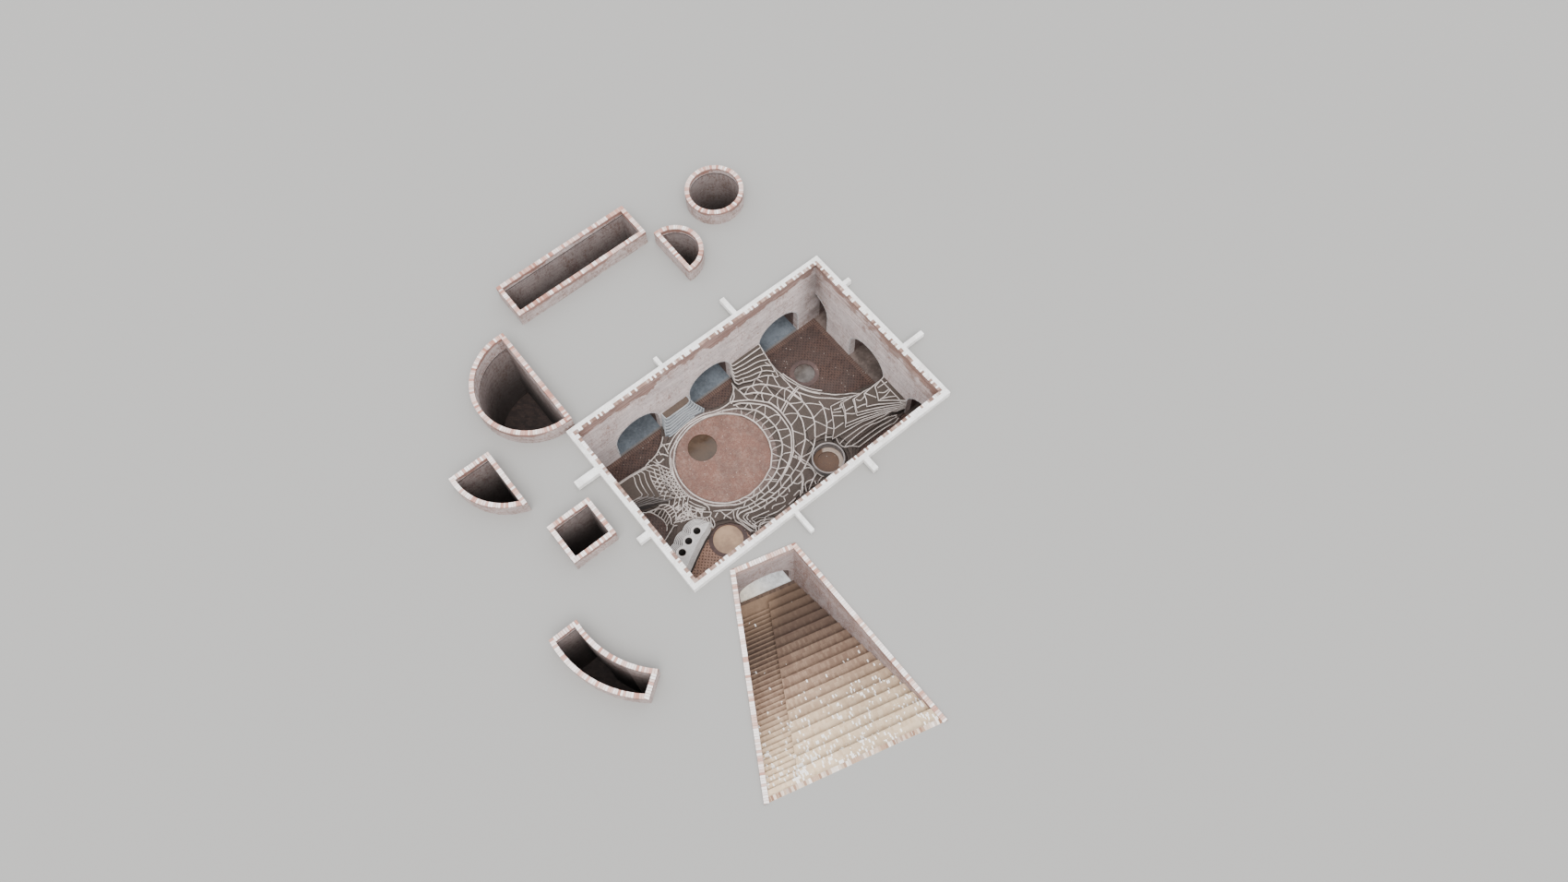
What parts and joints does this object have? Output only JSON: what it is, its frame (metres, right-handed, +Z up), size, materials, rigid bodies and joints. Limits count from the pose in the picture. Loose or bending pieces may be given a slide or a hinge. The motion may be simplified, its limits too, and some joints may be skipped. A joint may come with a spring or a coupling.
{
  "type": "sunken courtyard dwelling",
  "caption": "Brick-lined court below ground with arched cave rooms off its sides, tall light wells, terraced garden court and a wedge-shaped stair down.",
  "frame": {"origin": "middle of the underside of the base slab", "axes": "+X along the court's long side, +Y from the stair towards the long light well, +Z up"},
  "size_m": [27.192, 32.6896, 6.8],
  "materials": {
    "brick": "weathered red brick with pale bloom",
    "pale_brick": "brick with heavy pale bloom",
    "concrete": "white smooth concrete",
    "grey_slab": "blue-grey trowelled concrete",
    "red_paving": "dull red brick paving",
    "step_brick": "brown brick with white salt spots",
    "terrace_brick": "thin grey-white brick courses"
  },
  "bodies": {
    "root": {"arc_well": "pale_brick", "base_slab": "grey_slab", "court_paving": "red_paving", "crater_mound": "terrace_brick", "east_coping": "concrete", "east_room_1": "brick", "east_room_2": "brick", "east_room_3": "brick", "east_wall": "brick", "garden_terraces": "terrace_brick", "half_round_well": "pale_brick", "link_vault": "brick", "long_well": "pale_brick", "north_coping": "concrete", "north_mound_1": "terrace_brick", "north_mound_2": "terrace_brick", "north_room_1": "brick", "north_room_2": "brick", "north_room_3": "brick", "north_wall": "brick", "plaza_ring": "red_paving", "quarter_well": "pale_brick", "round_tub": "concrete", "round_well": "pale_brick", "seat_steps": "step_brick", "small_half_round_well": "pale_brick", "small_steps_lower": "step_brick", "small_steps_upper": "step_brick", "south_coping": "concrete", "south_east_mound": "terrace_brick", "south_mound_1": "terrace_brick", "south_mound_2": "terrace_brick", "south_room_2": "brick", "south_room_3": "brick", "south_wall": "brick", "square_well": "pale_brick", "stair_end_wall": "brick", "stair_foot_edge": "step_brick", "stair_left_wall": "brick", "stair_right_wall": "brick", "stair_tunnel": "brick", "west_coping": "concrete", "west_mound": "terrace_brick", "west_room_1": "brick", "west_room_2": "brick", "west_room_3": "brick", "west_wall": "brick"}
  },
  "joints": []
}
